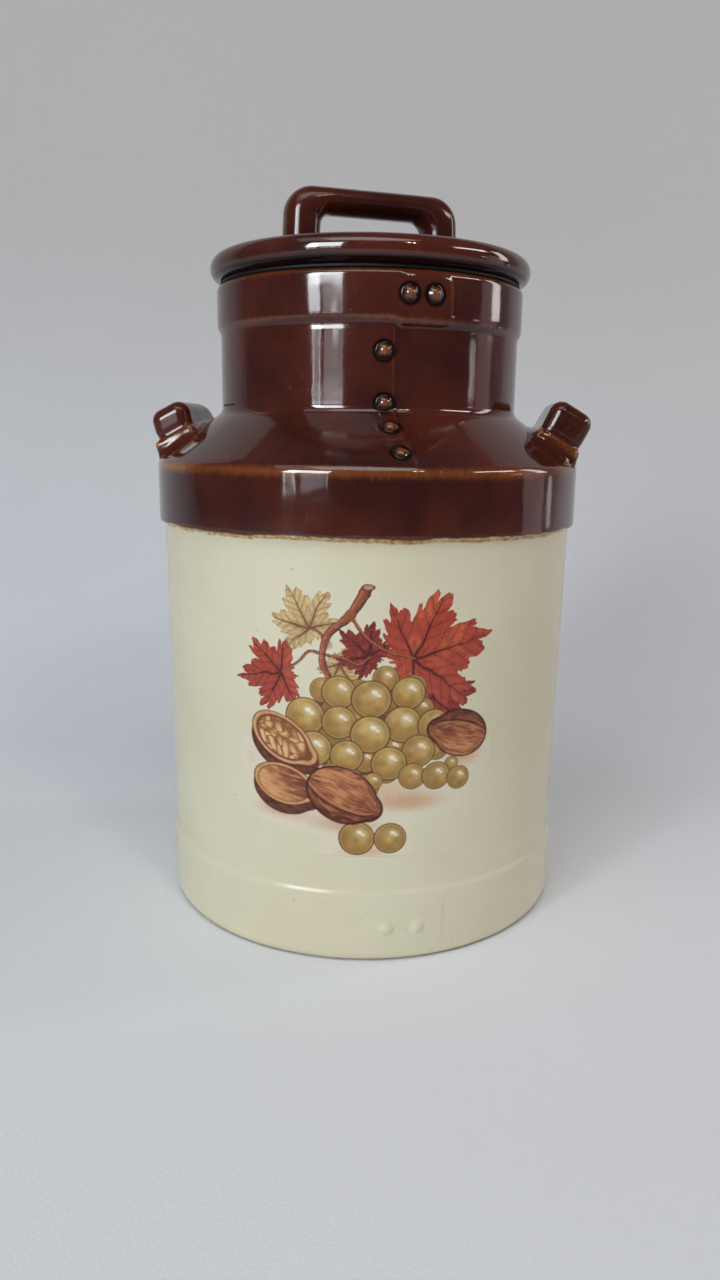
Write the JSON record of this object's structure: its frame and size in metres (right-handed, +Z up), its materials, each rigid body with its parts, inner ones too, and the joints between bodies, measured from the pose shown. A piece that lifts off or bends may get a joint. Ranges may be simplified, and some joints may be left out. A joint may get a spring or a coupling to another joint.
{
  "type": "food canister",
  "caption": "Glazed stoneware canister shaped like a milk can, with two ears, a fruit picture on the front and a sealed lift-off lid with a loop handle.",
  "frame": {"origin": "centre of the foot, on the surface the canister stands on", "axes": "+Z up along the jar's axis; the fruit picture faces -Y; the ears are on +X and -X"},
  "size_m": [0.169, 0.167, 0.2793],
  "materials": {
    "stoneware_glaze": "glossy cream glaze on the wall, glossy brown glaze from the shoulder up",
    "brown_glaze": "glossy dark brown glaze that breaks to amber on edges",
    "fired_transfer": "fired-on coloured picture under a glossy surface",
    "seal_rubber": "matt black"
  },
  "bodies": {
    "jar": {"jar_body": "stoneware_glaze", "left_ear": "brown_glaze", "right_ear": "brown_glaze", "fruit_transfer": "fired_transfer"},
    "seal": {"lid_seal": "seal_rubber"},
    "lid": {"lid_plate": "brown_glaze", "lid_handle": "brown_glaze"}
  },
  "joints": [
    {"name": "lid_lift", "type": "slide", "parent": "jar", "child": "seal", "axis": [0, 0, 1], "range_m": [0, 0.1]},
    {"name": "lid_turn", "type": "hinge", "parent": "seal", "child": "lid", "pos_m": [0, 0, 0.244], "axis": [0, 0, 1], "continuous": true}
  ]
}
